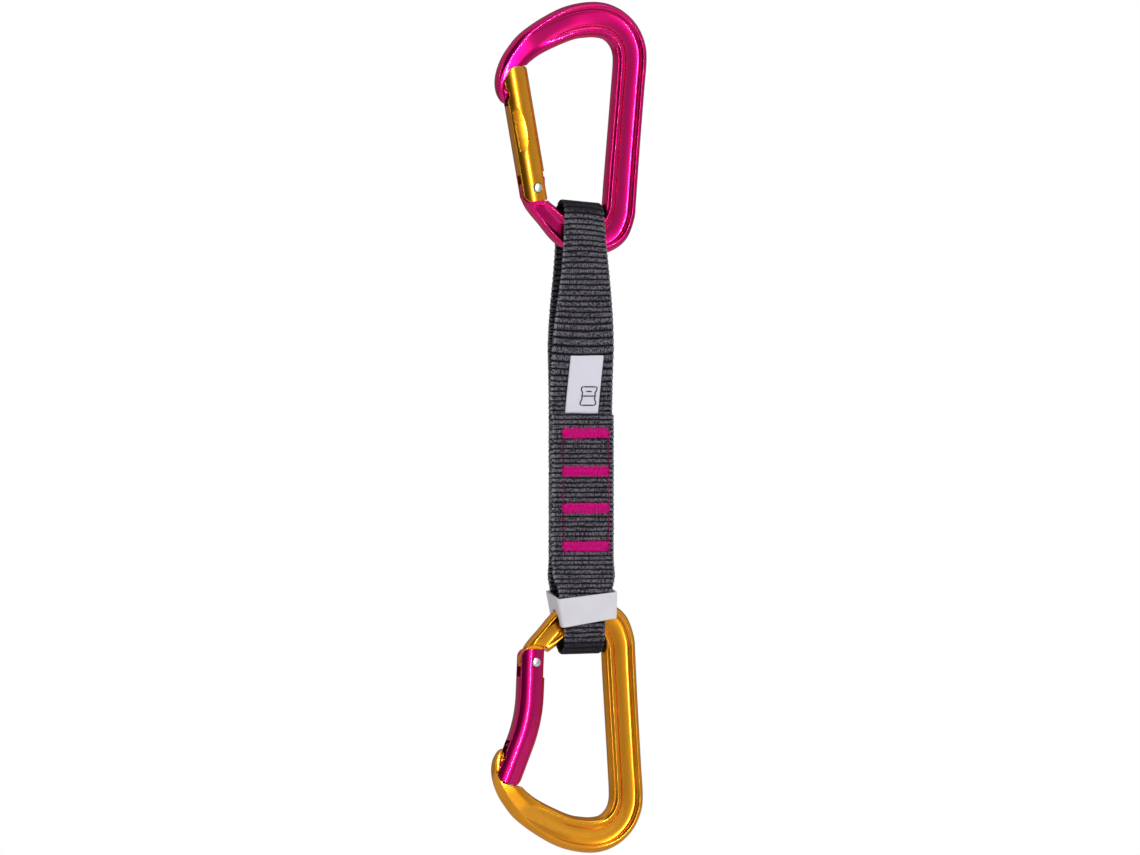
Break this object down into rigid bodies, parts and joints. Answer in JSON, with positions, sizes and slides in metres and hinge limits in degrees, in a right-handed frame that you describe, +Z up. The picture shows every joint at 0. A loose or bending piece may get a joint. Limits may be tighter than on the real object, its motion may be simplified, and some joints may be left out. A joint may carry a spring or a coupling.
{
  "type": "climbing quickdraw",
  "caption": "Climbing quickdraw: straight-gate and bent-gate carabiners with sprung hinged gates, joined by a sewn webbing sling with a rubber keeper.",
  "frame": {"origin": "the point of the top carabiner's inner crook that hangs on a bolt hanger", "axes": "+Z up along the hanging sling; +X from the gates towards the spines; +Y through the thickness, away from the labelled side"},
  "size_m": [0.0639, 0.0166, 0.3378],
  "materials": {
    "magenta_anodised": "satin magenta anodised aluminium",
    "gold_anodised": "satin gold anodised aluminium",
    "steel": "bright steel",
    "webbing_grey": "ribbed dark grey webbing",
    "thread_magenta": "magenta sewing thread",
    "label_white": "woven white label",
    "keeper_rubber": "matt pale grey rubber"
  },
  "bodies": {
    "top_carabiner": {"top_frame": "magenta_anodised", "top_rivet": "steel"},
    "top_gate": {"top_gate": "gold_anodised", "top_spring": "steel"},
    "top_plunger": {"top_plunger": "steel"},
    "sling": {"webbing": "webbing_grey", "webbing_top_loop": "webbing_grey", "webbing_bottom_loop": "webbing_grey", "label": "label_white", "bartack_front_1": "thread_magenta", "bartack_front_2": "thread_magenta", "bartack_front_3": "thread_magenta", "bartack_front_4": "thread_magenta", "bartack_back_1": "thread_magenta", "bartack_back_2": "thread_magenta", "bartack_back_3": "thread_magenta", "bartack_back_4": "thread_magenta", "side_stitch_front_left": "thread_magenta", "side_stitch_front_right": "thread_magenta", "side_stitch_back_left": "thread_magenta", "side_stitch_back_right": "thread_magenta"},
    "bottom_carabiner": {"bottom_frame": "gold_anodised", "bottom_rivet": "steel", "keeper": "keeper_rubber"},
    "bottom_gate": {"bottom_gate": "magenta_anodised", "bottom_spring": "steel"},
    "bottom_plunger": {"bottom_plunger": "steel"}
  },
  "joints": [
    {"name": "top_gate_hinge", "type": "hinge", "parent": "top_carabiner", "child": "top_gate", "pos_m": [-0.024, 0, -0.06], "axis": [0, 1, 0], "range_deg": [0, 30], "stiffness_Nm_per_rad": 0.4, "springref_deg": -28.65},
    {"name": "top_plunger_slide", "type": "slide", "parent": "top_gate", "child": "top_plunger", "axis": [-0.1736, 0, 0.9848], "range_m": [0, 0.0014], "deforming": ["top_spring"]},
    {"name": "sling_swing", "type": "hinge", "parent": "top_carabiner", "child": "sling", "pos_m": [0, 0, -0.0799], "axis": [1, 0, 0], "range_deg": [-60, 60], "deforming": ["webbing_top_loop"]},
    {"name": "bottom_swing", "type": "hinge", "parent": "sling", "child": "bottom_carabiner", "pos_m": [0, 0, -0.2295], "axis": [1, 0, 0], "range_deg": [-45, 45], "deforming": ["webbing_bottom_loop"]},
    {"name": "bottom_gate_hinge", "type": "hinge", "parent": "bottom_carabiner", "child": "bottom_gate", "pos_m": [-0.02471, 0, -0.24766], "axis": [0, -1, 0], "range_deg": [0, 30], "stiffness_Nm_per_rad": 0.4, "springref_deg": -28.65},
    {"name": "bottom_plunger_slide", "type": "slide", "parent": "bottom_gate", "child": "bottom_plunger", "axis": [-0.0419, 0, -0.9991], "range_m": [0, 0.0014], "deforming": ["bottom_spring"]}
  ],
  "couplings": [
    {"joint": "top_plunger_slide", "follows": "top_gate_hinge", "m_per_rad": 0.002483},
    {"joint": "bottom_plunger_slide", "follows": "bottom_gate_hinge", "m_per_rad": 0.002483}
  ]
}
